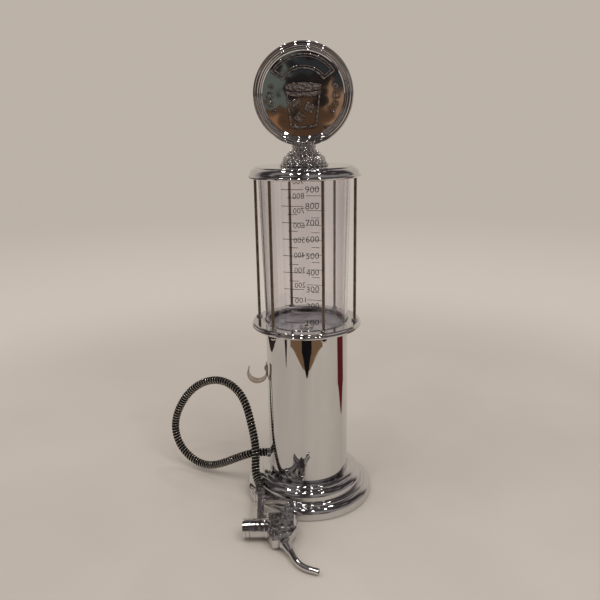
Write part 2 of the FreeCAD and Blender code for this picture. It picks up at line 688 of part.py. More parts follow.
def valve_bonnet():
    """Screw cap on the barrel: two grooves outside, a well for the spring inside."""
    spigot = CHAMBER_RADIUS - FINGERTIP
    face = BARREL_END - 0.05
    outer = BARREL_RADIUS
    bonnet = valve_turned(
        (0, BONNET_END), (outer - 1.2, BONNET_END), (outer, BONNET_END + 1.2, 0.35), (outer, -35.8),
        (outer - 0.6, -35.4), (outer - 0.6, -35.0), (outer, -34.6), (outer, face - 0.5), (outer - 0.5, face),
        (spigot, face), (spigot, -27.0), (4.5, -27.0), (4.5, -36.4), (0, -36.4))
    return lay_down(bonnet)


def valve_plunger():
    """Valve head with a stem to the trigger and a stub that guides the spring."""
    plunger = valve_turned((0, -16.0), (1.8, -16.0), (1.8, -10.4), (4.7, -10.4), (4.7, SEAT_AT - 1.5),
                           (STEM_RADIUS, SEAT_AT - 1.5), (STEM_RADIUS, STEM_END - 0.4),
                           (STEM_RADIUS - 0.4, STEM_END, 0.1), (0, STEM_END))
    return lay_down(plunger)


def valve_washer():
    """Soft washer on the valve head that closes the seat."""
    return lay_down(valve_turned((STEM_RADIUS, SEAT_AT - 1.5), (4.5, SEAT_AT - 1.5),
                                 (4.5, SEAT_AT - FINGERTIP), (STEM_RADIUS, SEAT_AT - FINGERTIP)))


def stem_o_ring():
    section = 0.7
    place = V(VALVE_AT, GLAND_AT - section, 0)
    return lay_down(Part.makeTorus(STEM_RADIUS + FINGERTIP + section, section, place, V(0, 1, 0)))


def valve_spring():
    """Compression spring between the valve head and the bonnet, its wire in short straight lengths."""
    wire, radius, bottom, top = 0.4, 3.6, -35.9, -10.9
    turns, lengths_per_turn = 7, 10
    points = []
    for k in range(turns * lengths_per_turn + 1):
        angle = 2 * math.pi * k / lengths_per_turn
        rise = (top - bottom) * k / (turns * lengths_per_turn)
        points.append(V(radius * math.cos(angle), radius * math.sin(angle), rise))
    section = Part.Wire([Part.makeCircle(wire, points[0], points[1] - points[0])])
    mitred = 1
    coil = Part.makePolygon(points).makePipeShell([section], True, False, mitred)
    return lay_down(facing(coil, V(0, 1, 0), V(VALVE_AT, bottom, 0)))


def trigger():
    """Lever on the cross pin: a round nose presses the stem, and the arm runs back inside the guard."""
    half = TRIGGER_WIDTH / 2
    eye = rod(TRIGGER_PIVOT - V(0, 0, half), TRIGGER_PIVOT + V(0, 0, half), 2.6)
    nose_radius = 1.6
    nose = V(VALVE_AT, STEM_END + 0.02 + nose_radius, 0)
    arm = plate([(11.0, 6.0), (11.0, 11.2), (4.0, 9.2), (-13, 7.2), (-25, 6.4, -0.3), (-29.5, 6.9),
                 (-30.4, 4.6, -0.5), (-25, 2.6), (-13, 3.6, 0.3), (2.0, 5.0)], -half, half)
    lever = arm.fuse([eye, rod(nose - V(0, 0, half), nose + V(0, 0, half), nose_radius)]).removeSplitter()
    pin = rod(TRIGGER_PIVOT - V(0, 0, half), TRIGGER_PIVOT + V(0, 0, half), 1.25 + FINGERTIP)
    return lay_down(lever.cut(pin))


def trigger_pin():
    end = V(0, 0, NOZZLE_HALF)
    return lay_down(rod(TRIGGER_PIVOT - end, TRIGGER_PIVOT + end, 1.25))


def spout_collar():
    """Tapered nut that holds the spout in the block."""
    bore = SPOUT_RADIUS + FINGERTIP
    collar = turned((bore, 0.05), (5.9, 0.05), (6.3, 0.5), (6.3, 3.6), (5.6, 4.2), (5.2, 5.0),
                    (3.9, 14.4), (3.5, 15.2), (bore, 15.2))
    return lay_down(facing(collar, SPOUT_WAY, SPOUT_ROOT))


def spout():
    """Bent outlet tube: straight root, one bend, straight tip."""
    turn = SPOUT_WAY.getAngle(SPOUT_TIP_WAY)
    reach = SPOUT_BEND * math.tan(turn / 2)
    bend_start = SPOUT_CORNER - SPOUT_WAY * reach
    bend_end = SPOUT_CORNER + SPOUT_TIP_WAY * reach
    bend_centre = bend_start + UP.cross(SPOUT_WAY) * SPOUT_BEND

    def bent_bar(radius):
        section = Part.Face(Part.Wire([Part.makeCircle(radius, bend_start, SPOUT_WAY)]))
        bend = section.revolve(bend_centre, UP, math.degrees(turn))
        root = rod(SPOUT_ROOT - SPOUT_WAY * 5.0, bend_start, radius)
        return root.fuse([bend, rod(bend_end, SPOUT_TIP, radius)]).removeSplitter()

    return lay_down(bent_bar(SPOUT_RADIUS).cut(bent_bar(SPOUT_BORE)))


def hose_ferrule():
    """End piece of the hose: the nozzle's tail turns in it, and the hose is pushed on its barb."""
    face = SWIVEL_LENGTH + 0.45
    rim = FERRULE_RADIUS - 0.6
    socket = SWIVEL_RADIUS + FINGERTIP
    ferrule = turned((FITTING_BORE, -BARB_LENGTH), (BARB_RADIUS, -BARB_LENGTH), (BARB_RADIUS, 0), (rim, 0),
                     (FERRULE_RADIUS, 0.6), (FERRULE_RADIUS, 6.6), (rim, 7.4), (rim, face), (socket, face),
                     (socket, 0.4), (FITTING_BORE, 0.4))
    return lay_down(facing(ferrule, SWIVEL_WAY, HOSE_END))


# ---- hose ----------------------------------------------------------------------------------
def hose_path():
    """Way of the hose: out of the column, down to the floor, round a tall loop behind, into the nozzle."""
    gap = 0.15
    straight = BARB_LENGTH + 0.3          # each end is straight where it covers a barb
    way_out = V(-1, 0, 0)
    start = V(-47.2 - gap, 0, FITTING_HEIGHT)
    end = laid_point(HOSE_END - SWIVEL_WAY * gap)
    way_in = (laid_point(HOSE_END) - end).normalize()
    leave, arrive = start + way_out * straight, end - way_in * straight
    points = [
        leave,
        V(-80, 7, 34),
        V(-105, 20, 18),
        V(-130, 36, 9.5),          # rests near the floor
        V(-153, 48, 21),
        V(-164, 58, 47),           # far left of the loop
        V(-154.5, 60, 78.5),
        V(-130, 53, 106),
        V(-98, 37, 116),           # top of the loop
        V(-75, 18, 103.5),
        V(-65, 3, 79),
        V(-59.5, -12, 50),         # passes in front of its own start
        V(-58, -26, 27),
        arrive,
    ]
    loop = smooth_path(points, way_out, way_in)
    return [Part.makeLine(start, leave), loop, Part.makeLine(arrive, end)]


# ---- build -----------------------------------------------------------------------------------
save("base_pad", Part.makeCylinder(PAD_RADIUS, PAD_THICKNESS))
save("base_plate", base_plate())
save("base_screws", *base_screws())
save("base_shell", base_shell())
save("column_tube", column_tube())
save("column_flange", column_flange())
save("column_screws", *column_screws())
save("tank", tank())
save("tank_gasket", tank_gasket())
save("tank_ring", tank_ring())
save("tank_top_seal", tank_top_seal())
save("tie_rods", *tie_rods())
save("rod_collars", *rod_collars())
save("acorn_nuts", *acorn_nuts())
save("drain_fitting", drain_fitting())
save("drain_gasket", drain_gasket())
save("drain_nut", drain_nut())
save("inner_tube", inner_tube())
save("outlet_fitting", outlet_fitting())
save("outlet_nut", outlet_nut())
save("top_cap", top_cap())
save("filler_stopper", filler_stopper())
save("finial", finial())
save("stopper_washer", stopper_washer())
save("stopper_screw", stopper_screw())
save("sign_stud", sign_stud())
save("sign_rim", sign_rim())
save("sign_front", sign_front())
save("sign_back", sign_back())
save("hook", hook())
save("hook_screw", hook_screw())
save("hook_nut", hook_nut())
save("nozzle_body", nozzle_body())
save("valve_bonnet", valve_bonnet())
save("valve_plunger", valve_plunger())
save("valve_washer", valve_washer())
save("stem_o_ring", stem_o_ring())
save("valve_spring", valve_spring())
save("trigger", trigger())
save("trigger_pin", trigger_pin())
save("spout_collar", spout_collar())
save("spout", spout())
save("hose_ferrule", hose_ferrule())
save("hose_tube", swept(hose_path(), HOSE_TUBE_RADIUS, HOSE_BORE))
save("hose_armour", swept(hose_path(), HOSE_RADIUS, HOSE_ARMOUR_BORE))
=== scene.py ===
import json
import math

import bpy
import numpy as np
from mathutils import Matrix, Vector


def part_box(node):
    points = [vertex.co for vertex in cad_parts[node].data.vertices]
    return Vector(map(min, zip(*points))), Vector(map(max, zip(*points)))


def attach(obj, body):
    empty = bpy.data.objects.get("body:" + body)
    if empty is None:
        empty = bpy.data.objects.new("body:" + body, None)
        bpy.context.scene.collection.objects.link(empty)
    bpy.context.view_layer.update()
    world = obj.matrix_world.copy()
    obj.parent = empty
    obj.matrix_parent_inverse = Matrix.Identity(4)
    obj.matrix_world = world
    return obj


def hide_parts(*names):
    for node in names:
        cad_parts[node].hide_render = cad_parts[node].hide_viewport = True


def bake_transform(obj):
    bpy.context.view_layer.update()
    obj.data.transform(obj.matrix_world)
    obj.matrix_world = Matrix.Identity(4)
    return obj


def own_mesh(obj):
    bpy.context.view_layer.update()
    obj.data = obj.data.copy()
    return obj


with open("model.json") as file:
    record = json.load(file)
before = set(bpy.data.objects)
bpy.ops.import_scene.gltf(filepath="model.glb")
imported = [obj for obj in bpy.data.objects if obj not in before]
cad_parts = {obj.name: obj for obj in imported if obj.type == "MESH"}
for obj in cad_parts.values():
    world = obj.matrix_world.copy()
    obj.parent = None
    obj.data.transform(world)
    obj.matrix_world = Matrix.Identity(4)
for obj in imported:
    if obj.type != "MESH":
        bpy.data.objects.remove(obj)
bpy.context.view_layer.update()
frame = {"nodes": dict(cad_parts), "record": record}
NODES = frame["nodes"]
JOINTS = {joint["name"]: joint for joint in frame["record"]["behaviour"]["joints"]}
MM = 0.001

# ---- hose and its wire, in metres ---------------------------------------------------------------------
HOSE_WAIST = 3.6 * MM         # radius of the hose under its wire
HOSE_SWELL = 1.05 * MM        # how far it swells between the turns
WIRE_RADIUS = 0.48 * MM
WIRE_CIRCLE = 4.15 * MM       # radius of the helix that the wire's centre follows
WIRE_PITCH = 3.5 * MM
STEPS_PER_TURN = 16
HOSE_SIDES = 20
WIRE_SIDES = 6
BARB_COVER = 6.3 * MM         # straight stretch of hose over each barb
HOSE_START_X = -47.35 * MM    # against the collar of the column's fitting
PIVOT_TO_HOSE = 8.15 * MM     # from the nozzle's pivot back along its tail to the end of the hose
HOSE_BENDS = (
    # out from the column and down, round the low side of the loop, over its top, down to the nozzle
    (-80, 7, 34), (-105, 20, 18), (-130, 36, 9.5), (-153, 48, 21),
    (-164, 58, 47), (-154.5, 60, 78.5), (-130, 53, 106), (-98, 37, 116),
    (-75, 18, 103.5), (-65, 3, 79), (-59.5, -12, 50), (-58, -26, 27),
)

# ---- valve spring, in metres --------------------------------------------------------------------------
SPRING_WIRE = 0.4 * MM        # radius of its wire
SPRING_CIRCLE = 3.6 * MM      # radius of the helix that the wire's centre follows
SPRING_TURNS = 7
SPRING_STEPS_PER_TURN = 36
SPRING_SIDES = 8

# ---- tank and its printed scale, in millimetres and degrees -------------------------------------------
TANK_FLOOR = 194.4
TANK_INNER_RADIUS = 41.8      # at the height of the floor
TANK_WALL = 2.0
TANK_TAPER = 0.021            # growth of the radius with height
INK_HEIGHT = 0.12             # how far the print stands off the tank
MARK_WEIGHT = 0.55            # thickness of the lines
MARK_EVERY = 50               # millilitres between lines; every second one is long and has a number
MARKS = 18
LONG_MARK = (-29.0, -2.0)     # where the lines start and stop, round from the middle of the scale
SHORT_MARK = (-21.0, -9.0)
NUMBER_START = 0.6
NUMBER_HEIGHT = 6.2
NUMBER_WIDTH = 12.4
LINE_STEPS = 10
FONT_SIZE_TO_HEIGHT = 1.42    # size of the font for digits one unit tall
FONT_THINNING = -0.06

# ---- other places that the looks depend on, in metres --------------------------------------------------
SIGN_FIELD = 4.8 * MM         # from the sign's middle plane to the flat field of each face
COLUMN_BORE = 43.5 * MM       # nearer the axis than this, the column shows its inside: unplated and darker, partly its own dull steel, partly painted shade
BEADS_ROUND = 24              # beads round the finial
BEAD_ROW = 4.0 * MM           # height of two rows of beads
BEAD_DEPTH = 0.9 * MM

# ---- mesh helpers ----------------------------------------------------------------------------


def add_mesh(name, vertices, faces, smooth=True):
    """New object from points and faces."""
    mesh = bpy.data.meshes.new(name)
    mesh.from_pydata([tuple(v) for v in vertices], [], faces)
    mesh.update()
    if smooth:
        mesh.shade_smooth()
    piece = bpy.data.objects.new(name, mesh)
    bpy.context.collection.objects.link(piece)
    return piece


def tube_mesh(name, centres, radii, sides):
    """Tube with closed ends round a line of centres; one radius, or one for each centre and side."""
    across, over = travelling_frame(centres)
    angles = np.linspace(0, 2 * math.pi, sides, endpoint=False)
    radii = np.broadcast_to(radii, (len(centres), sides))[:, :, None]
    cosines, sines = np.cos(angles)[None, :, None], np.sin(angles)[None, :, None]
    rings = centres[:, None, :] + radii * (cosines * across[:, None, :] + sines * over[:, None, :])
    faces = []
    for ring in range(len(centres) - 1):
        low, high = ring * sides, (ring + 1) * sides
        for k in range(sides):
            turn = (k + 1) % sides
            faces.append((low + k, low + turn, high + turn, high + k))
    faces.append(tuple(reversed(range(sides))))
    faces.append(tuple(range((len(centres) - 1) * sides, len(centres) * sides)))
    return add_mesh(name, rings.reshape(-1, 3), faces)


def travelling_frame(centres):
    """Two directions across the line at each centre, square to each other, that never twist about it."""
    ways = np.gradient(centres, axis=0)
    ways /= np.linalg.norm(ways, axis=1)[:, None]
    across = np.zeros_like(ways)
    side = np.cross(ways[0], (0.0, 0.0, 1.0))
    for k, way in enumerate(ways):
        side = side - way * np.dot(side, way)
        side /= np.linalg.norm(side)
        across[k] = side
    return across, np.cross(ways, across)


def clamped_spline(points, first_way, last_way, step):
    """Smooth curve through the points, leaving and arriving in the given directions, as close centres."""
    points = np.array(points, float)
    gaps = np.linalg.norm(np.diff(points, axis=0), axis=1)
    count = len(points)
    system = np.zeros((count, count))
    rates = np.zeros((count, 3))
    system[0, 0] = system[-1, -1] = 1.0
    rates[0], rates[-1] = first_way, last_way
    for k in range(1, count - 1):
        before, after = gaps[k - 1], gaps[k]
        system[k, k - 1], system[k, k], system[k, k + 1] = after, 2 * (before + after), before
        arriving = (points[k] - points[k - 1]) / before
        leaving = (points[k + 1] - points[k]) / after
        rates[k] = 3 * (after * arriving + before * leaving)
    slopes = np.linalg.solve(system, rates)
    centres = []
    for k, gap in enumerate(gaps):
        pieces = max(2, int(gap / step))
        for part in range(pieces):
            t = part / pieces
            near = (2 * t ** 3 - 3 * t ** 2 + 1) * points[k] + (t ** 3 - 2 * t ** 2 + t) * gap * slopes[k]
            far = (3 * t ** 2 - 2 * t ** 3) * points[k + 1] + (t ** 3 - t ** 2) * gap * slopes[k + 1]
            centres.append(near + far)
    centres.append(points[-1])
    return np.array(centres)


def resampled(centres, step):
    """The same line with its centres at equal distances."""
    lengths = np.concatenate(([0.0], np.cumsum(np.linalg.norm(np.diff(centres, axis=0), axis=1))))
    places = np.linspace(0.0, lengths[-1], round(lengths[-1] / step) + 1)
    return places, np.stack([np.interp(places, lengths, centres[:, axis]) for axis in range(3)], axis=1)


# ---- shader helpers ----------------------------------------------------------------------------


def new_material(name):
    material = bpy.data.materials.new(name)
    material.use_nodes = True
    tree = material.node_tree
    return material, tree, tree.nodes["Principled BSDF"]


def node(tree, kind, **settings):
    """Adds a shader node and sets its properties."""
    made = tree.nodes.new(kind)
    for name, value in settings.items():
        setattr(made, name, value)
    return made


def link(tree, source, target):
    tree.links.new(source, target)


def math_node(tree, operation, first, second=None):
    """Math node on sockets or numbers; returns its result socket."""
    made = node(tree, "ShaderNodeMath", operation=operation)
    for index, value in enumerate((first, second)):
        if value is None:
            continue
        if isinstance(value, (int, float)):
            made.inputs[index].default_value = value
        else:
            link(tree, value, made.inputs[index])
    return made.outputs[0]


def smooth_range(tree, value, low, high, to_low=0.0, to_high=1.0):
    """Maps value smoothly from low..high to to_low..to_high."""
    made = node(tree, "ShaderNodeMapRange", interpolation_type="SMOOTHSTEP")
    link(tree, value, made.inputs["Value"])
    for socket, number in (("From Min", low), ("From Max", high), ("To Min", to_low), ("To Max", to_high)):
        made.inputs[socket].default_value = number
    return made.outputs["Result"]


def mix_colour(tree, factor, first, second):
    """Mixes two colours, given as sockets or as (r, g, b)."""
    made = node(tree, "ShaderNodeMix", data_type="RGBA")
    sockets = (made.inputs["Factor"], made.inputs[6], made.inputs[7])
    for socket, value in zip(sockets, (factor, first, second)):
        if isinstance(value, tuple):
            socket.default_value = (*value, 1.0)
        elif isinstance(value, (int, float)):
            socket.default_value = value
        else:
            link(tree, value, socket)
    return made.outputs[2]


def noise(tree, scale, detail=3.0, roughness=0.5, stretch=(1.0, 1.0, 1.0)):
    """Noise in object space, in metres; returns its value socket."""
    place = node(tree, "ShaderNodeTexCoord")
    mapping = node(tree, "ShaderNodeMapping")
    mapping.inputs["Scale"].default_value = stretch
    texture = node(tree, "ShaderNodeTexNoise")
    texture.inputs["Scale"].default_value = scale
    texture.inputs["Detail"].default_value = detail
    texture.inputs["Roughness"].default_value = roughness
    link(tree, place.outputs["Object"], mapping.inputs["Vector"])
    link(tree, mapping.outputs[0], texture.inputs["Vector"])
    return texture.outputs["Fac"]


def object_place(tree):
    """X, Y and Z of the shaded point in the object's own frame, in metres."""
    split = node(tree, "ShaderNodeSeparateXYZ")
    link(tree, node(tree, "ShaderNodeTexCoord").outputs["Object"], split.inputs[0])
    return split.outputs


def from_axis(tree, x, y):
    """Distance from the Z axis."""
    squares = [math_node(tree, "MULTIPLY", side, side) for side in (x, y)]
    return math_node(tree, "SQRT", math_node(tree, "ADD", *squares))


def product(tree, *factors):
    """All the factors multiplied."""
    result = factors[0]
    for factor in factors[1:]:
        result = math_node(tree, "MULTIPLY", result, factor)
    return result


def mixed_surface(tree, factor, first, second):
    """Shader that is the first where factor is 0 and the second where it is 1; returns its socket."""
    mix = node(tree, "ShaderNodeMixShader")
    for socket, source in zip(mix.inputs, (factor, first, second)):
        link(tree, source, socket)
    return mix.outputs[0]


def show(tree, surface):
    link(tree, surface, tree.nodes["Material Output"].inputs["Surface"])


def add_bump(tree, shader, height, distance, strength=1.0, edge_radius=None):
    """Bump on the shader's normal, over edges rounded in the shading if edge_radius is given."""
    bump = node(tree, "ShaderNodeBump")
    bump.inputs["Strength"].default_value = strength
    bump.inputs["Distance"].default_value = distance
    link(tree, height, bump.inputs["Height"])
    if edge_radius:
        soft_edge = node(tree, "ShaderNodeBevel", samples=4)
        soft_edge.inputs["Radius"].default_value = edge_radius
        link(tree, soft_edge.outputs[0], bump.inputs["Normal"])
    link(tree, bump.outputs[0], shader.inputs["Normal"])


# ---- materials ---------------------------------------------------------------------------------


def chrome(name, tint=(0.70, 0.70, 0.70), polish=0.03, haze=0.10, ripple=0.000024, wave=38.0,
           edge_radius=None):
    """Bright plate: faint smudges in the gloss, and the slight ripple of thin plated metal."""
    material, tree, shader = new_material(name)
    shader.inputs["Metallic"].default_value = 1.0
    smudges = noise(tree, 55.0, detail=6.0, roughness=0.65)
    specks = noise(tree, 900.0, detail=2.0)
    gloss = math_node(tree, "ADD", smooth_range(tree, smudges, 0.5, 0.75, polish, haze),
                      smooth_range(tree, specks, 0.7, 0.8, 0.0, 0.06))
    link(tree, gloss, shader.inputs["Roughness"])
    stained = smooth_range(tree, noise(tree, 30.0, detail=5.0), 0.55, 0.8, 0.0, 0.25)
    dull = tuple(0.82 * c for c in tint)
    link(tree, mix_colour(tree, stained, tint, dull), shader.inputs["Base Color"])
    add_bump(tree, shader, noise(tree, wave, detail=2.0), ripple, edge_radius=edge_radius)
    return material


def column_chrome():
    """Chrome outside, with faint upright streaks; inside, the tube is unplated and darker: partly its own
    dull steel, partly painted shade.
    """
    material = chrome("column_chrome", ripple=0.00004)
    tree = material.node_tree
    shader = tree.nodes["Principled BSDF"]
    upright = noise(tree, 60.0, detail=4.0, stretch=(1.0, 1.0, 0.04))
    streaks = smooth_range(tree, upright, 0.45, 0.7, 0.0, 0.35)
    plated = shader.inputs["Base Color"].links[0].from_socket
    link(tree, mix_colour(tree, streaks, plated, (0.82, 0.82, 0.81)), shader.inputs["Base Color"])
    # inside of the tube: dull unplated steel, darkened also as painted shade
    bare_and_shaded = node(tree, "ShaderNodeBsdfPrincipled")
    bare_and_shaded.inputs["Base Color"].default_value = (0.40, 0.37, 0.40, 1.0)
    bare_and_shaded.inputs["Roughness"].default_value = 0.35
    bare_and_shaded.inputs["Metallic"].default_value = 1.0
    x, y, _ = object_place(tree)
    inside = math_node(tree, "LESS_THAN", from_axis(tree, x, y), COLUMN_BORE)
    show(tree, mixed_surface(tree, inside, shader.outputs[0], bare_and_shaded.outputs[0]))
    return material


def beaded_chrome():
    """Chrome with rows of small round beads all round a turned post."""
    material = chrome("beaded_chrome", tint=(0.66, 0.65, 0.65), polish=0.06, haze=0.14)
    tree = material.node_tree
    x, y, z = object_place(tree)
    turned = product(tree, math_node(tree, "ARCTAN2", x, y), float(BEADS_ROUND))
    risen = product(tree, z, 2 * math.pi / BEAD_ROW)
    beads = product(tree, math_node(tree, "SINE", turned), math_node(tree, "SINE", risen))
    add_bump(tree, tree.nodes["Principled BSDF"], beads, BEAD_DEPTH)
    return material


def relief_chrome():
    """Chrome of the sign's plates: painted shade in the corners of the relief, a painted highlight on the
    raised parts, which are also a little lumpy.
    """
    material = chrome("relief_chrome", polish=0.03, haze=0.08, ripple=0.000012)
    tree = material.node_tree
    shader = tree.nodes["Principled BSDF"]
    _, y, _ = object_place(tree)
    from_middle = math_node(tree, "ABSOLUTE", y)
    raised = smooth_range(tree, from_middle, SIGN_FIELD + 0.2 * MM, SIGN_FIELD + 0.5 * MM)
    lumps = math_node(tree, "MULTIPLY", noise(tree, 330.0, detail=2.0), raised)
    ripple = math_node(tree, "MULTIPLY", noise(tree, 38.0, detail=2.0), 0.05)
    add_bump(tree, shader, math_node(tree, "ADD", lumps, ripple), 0.0005, edge_radius=0.0003)
    # painted shade: ambient occlusion darkens the base colour in the corners of the relief
    corners = node(tree, "ShaderNodeAmbientOcclusion", samples=4)
    corners.inputs["Distance"].default_value = 1.3 * MM
    plate_colour = shader.inputs["Base Color"].links[0].from_socket
    shade = smooth_range(tree, corners.outputs["AO"], 0.55, 0.95, 0.85, 0.0)
    # painted highlight: the raised parts get a lighter base colour
    painted_highlight = math_node(tree, "MULTIPLY", raised, 0.8)
    highlit_raised_colour = mix_colour(tree, painted_highlight, plate_colour, (0.86, 0.83, 0.84))
    link(tree, mix_colour(tree, shade, highlit_raised_colour, (0.03, 0.03, 0.03)), shader.inputs["Base Color"])
    return material


def plain_metal(name, tint, dark, roughness, edge_radius=None):
    """Unpolished metal with fine grain, darker in patches."""
    material, tree, shader = new_material(name)
    shader.inputs["Metallic"].default_value = 1.0
    patches = smooth_range(tree, noise(tree, 120.0, detail=5.0), 0.35, 0.7)
    link(tree, mix_colour(tree, patches, tint, dark), shader.inputs["Base Color"])
    grain = noise(tree, 420.0, detail=4.0)
    gloss = smooth_range(tree, grain, 0.3, 0.7, roughness * 0.75, roughness * 1.35)
    link(tree, gloss, shader.inputs["Roughness"])
    add_bump(tree, shader, grain, 0.00004, 0.3, edge_radius)
    return material


def soft_matter(name, tint, roughness, grain_scale, grain_height, sheen=0.5):
    """Rubber, felt or hose: a dusty matt colour with a fine grain; sheen is how much its surface mirrors."""
    material, tree, shader = new_material(name)
    shader.inputs["Specular IOR Level"].default_value = sheen
    dust = smooth_range(tree, noise(tree, 90.0, detail=6.0), 0.45, 0.75, 0.0, 0.5)
    dusty = tuple(min(1.0, 1.6 * c + 0.012) for c in tint)
    link(tree, mix_colour(tree, dust, tint, dusty), shader.inputs["Base Color"])
    grain = noise(tree, grain_scale, detail=3.0)
    gloss = smooth_range(tree, grain, 0.3, 0.7, roughness * 0.8, min(1.0, roughness * 1.2))
    link(tree, gloss, shader.inputs["Roughness"])
    add_bump(tree, shader, grain, grain_height, 0.5)
    return material


def clear_plastic():
    """Clear moulded plastic that lets lamps through, lightly scuffed and rippled, clouded over its floor."""
    material, tree, shader = new_material("clear_plastic")
    _, _, z = object_place(tree)
    above_floor = (TANK_FLOOR + 1.0) * MM
    clear_walls = smooth_range(tree, z, above_floor, above_floor + 4.0 * MM)
    clouded_floor = smooth_range(tree, noise(tree, 60.0, detail=6.0), 0.35, 0.65, 0.78, 0.90)
    clearness = math_node(tree, "MAXIMUM", clear_walls, clouded_floor)
    link(tree, clearness, shader.inputs["Transmission Weight"])
    shader.inputs["IOR"].default_value = 1.47
    shader.inputs["Base Color"].default_value = (0.93, 0.915, 0.935, 1.0)
    scuffs = smooth_range(tree, noise(tree, 160.0, detail=8.0, roughness=0.7), 0.6, 0.8, 0.01, 0.09)
    link(tree, scuffs, shader.inputs["Roughness"])
    add_bump(tree, shader, noise(tree, 30.0, detail=1.0, stretch=(1.0, 1.0, 0.25)), 0.0002, 0.25)
    open_to_lamps = node(tree, "ShaderNodeBsdfTransparent")
    open_to_lamps.inputs["Color"].default_value = (0.93, 0.92, 0.93, 1.0)
    to_lamp = node(tree, "ShaderNodeLightPath").outputs["Is Shadow Ray"]
    show(tree, mixed_surface(tree, to_lamp, shader.outputs[0], open_to_lamps.outputs[0]))
    return material


def printed_ink():
    """Black screen print, slightly worn in small scattered patches."""
    material, tree, shader = new_material("printed_ink")
    worn = smooth_range(tree, noise(tree, 700.0, detail=5.0), 0.5, 0.8, 0.0, 0.6)
    black, faded = (0.012, 0.011, 0.012), (0.06, 0.055, 0.055)
    link(tree, mix_colour(tree, worn, black, faded), shader.inputs["Base Color"])
    shader.inputs["Roughness"].default_value = 0.45
    return material


def paint(node_name, material):
    """Gives a CAD node a material in all its slots."""
    piece = NODES[node_name]
    if not piece.material_slots:
        piece.data.materials.append(material)
    for material_slot in piece.material_slots:
        material_slot.material = material


def paint_nodes():
    """Every CAD node that is shown gets its material."""
    bright = chrome("bright_chrome")
    turned_chrome = chrome("turned_chrome", polish=0.04, haze=0.12)
    cast_chrome = chrome("cast_chrome", tint=(0.68, 0.67, 0.67), polish=0.05, haze=0.12, ripple=0.0008,
                         wave=120.0, edge_radius=0.0006)
    zinc = plain_metal("zinc_steel", (0.62, 0.62, 0.63), (0.45, 0.44, 0.44), 0.32)
    strap = plain_metal("strap_metal", (0.52, 0.45, 0.37), (0.36, 0.30, 0.24), 0.3, edge_radius=0.0003)
    bronze = plain_metal("bronzed_rod", (0.30, 0.25, 0.20), (0.20, 0.16, 0.125), 0.36)
    brass = plain_metal("turned_brass", (0.78, 0.6, 0.3), (0.6, 0.43, 0.2), 0.28)
    rubber = soft_matter("black_rubber", (0.02, 0.02, 0.021), 0.55, 800.0, 0.00005)
    felt = soft_matter("black_felt", (0.03, 0.03, 0.033), 0.95, 1500.0, 0.0004)
    milky = soft_matter("milky_tube", (0.62, 0.62, 0.58), 0.4, 300.0, 0.00005)
    looks = {
        bright: ["base_shell", "tank_ring", "top_cap", "outlet_fitting", "drain_fitting", "sign_rim"],
        turned_chrome: ["acorn_nuts", "rod_collars", "valve_bonnet", "spout_collar", "spout", "hose_ferrule"],
        beaded_chrome(): ["finial"],
        column_chrome(): ["column_tube"],
        cast_chrome: ["nozzle_body", "trigger"],
        relief_chrome(): ["sign_front", "sign_back"],
        zinc: ["base_plate", "base_screws", "column_flange", "column_screws", "stopper_washer",
               "stopper_screw", "sign_stud", "hook_screw", "hook_nut", "trigger_pin"],
        strap: ["hook"],
        bronze: ["tie_rods"],
        brass: ["drain_nut", "outlet_nut", "valve_plunger"],
        rubber: ["tank_gasket", "tank_top_seal", "drain_gasket", "filler_stopper", "valve_washer",
                 "stem_o_ring"],
        felt: ["base_pad"],
        milky: ["inner_tube"],
        clear_plastic(): ["tank"],
    }
    for material, names in looks.items():
        for name in names:
            paint(name, material)


# ---- printed scale --------------------------------------------------------------------------------


def mark_height(millilitres):
    """Height at which the tapered tank holds this much, in millimetres."""
    volume = millilitres * 1000.0
    reach = (3 * TANK_TAPER * volume / math.pi + TANK_INNER_RADIUS ** 3) ** (1 / 3)
    return TANK_FLOOR + (reach - TANK_INNER_RADIUS) / TANK_TAPER


def on_tank(degrees, height):
    """Point just outside the tank, at an angle from -Y towards +X."""
    radius = TANK_INNER_RADIUS + TANK_WALL + TANK_TAPER * (height - TANK_FLOOR) + INK_HEIGHT
    angle = math.radians(degrees)
    return Vector((radius * math.sin(angle), -radius * math.cos(angle), height)) * MM


def printed_line(from_degrees, to_degrees, height):
    """Points and faces of one thin line printed round the tank."""
    points, faces = [], []
    for k in range(LINE_STEPS + 1):
        degrees = from_degrees + (to_degrees - from_degrees) * k / LINE_STEPS
        points.append(on_tank(degrees, height - MARK_WEIGHT / 2))
        points.append(on_tank(degrees, height + MARK_WEIGHT / 2))
    for k in range(LINE_STEPS):
        faces.append((2 * k, 2 * k + 2, 2 * k + 3, 2 * k + 1))
    return points, faces


def number_outline(text):
    """Points and faces of a flat number, in millimetres."""
    curve = bpy.data.curves.new("number", "FONT")
    curve.body = text
    curve.size = NUMBER_HEIGHT * FONT_SIZE_TO_HEIGHT
    curve.align_y = "CENTER"
    curve.offset = FONT_THINNING
    curve.resolution_u = 3
    holder = bpy.data.objects.new("number", curve)
    bpy.context.collection.objects.link(holder)
    flat = bpy.data.meshes.new_from_object(holder.evaluated_get(bpy.context.evaluated_depsgraph_get()))
    points = [v.co.copy() for v in flat.vertices]
    faces = [tuple(p.vertices) for p in flat.polygons]
    bpy.data.objects.remove(holder)
    bpy.data.meshes.remove(flat)
    return points, faces


def printed_number(text, from_degrees, height):
    """A number wrapped round the tank."""
    points, faces = number_outline(text)
    left = min(p.x for p in points)
    stretch = NUMBER_WIDTH / (max(p.x for p in points) - left)
    middle = (max(p.y for p in points) + min(p.y for p in points)) / 2
    radius = TANK_INNER_RADIUS + TANK_WALL
    wrapped = []
    for p in points:
        degrees = from_degrees + math.degrees((p.x - left) * stretch / radius)
        wrapped.append(on_tank(degrees, height + p.y - middle))
    return wrapped, faces


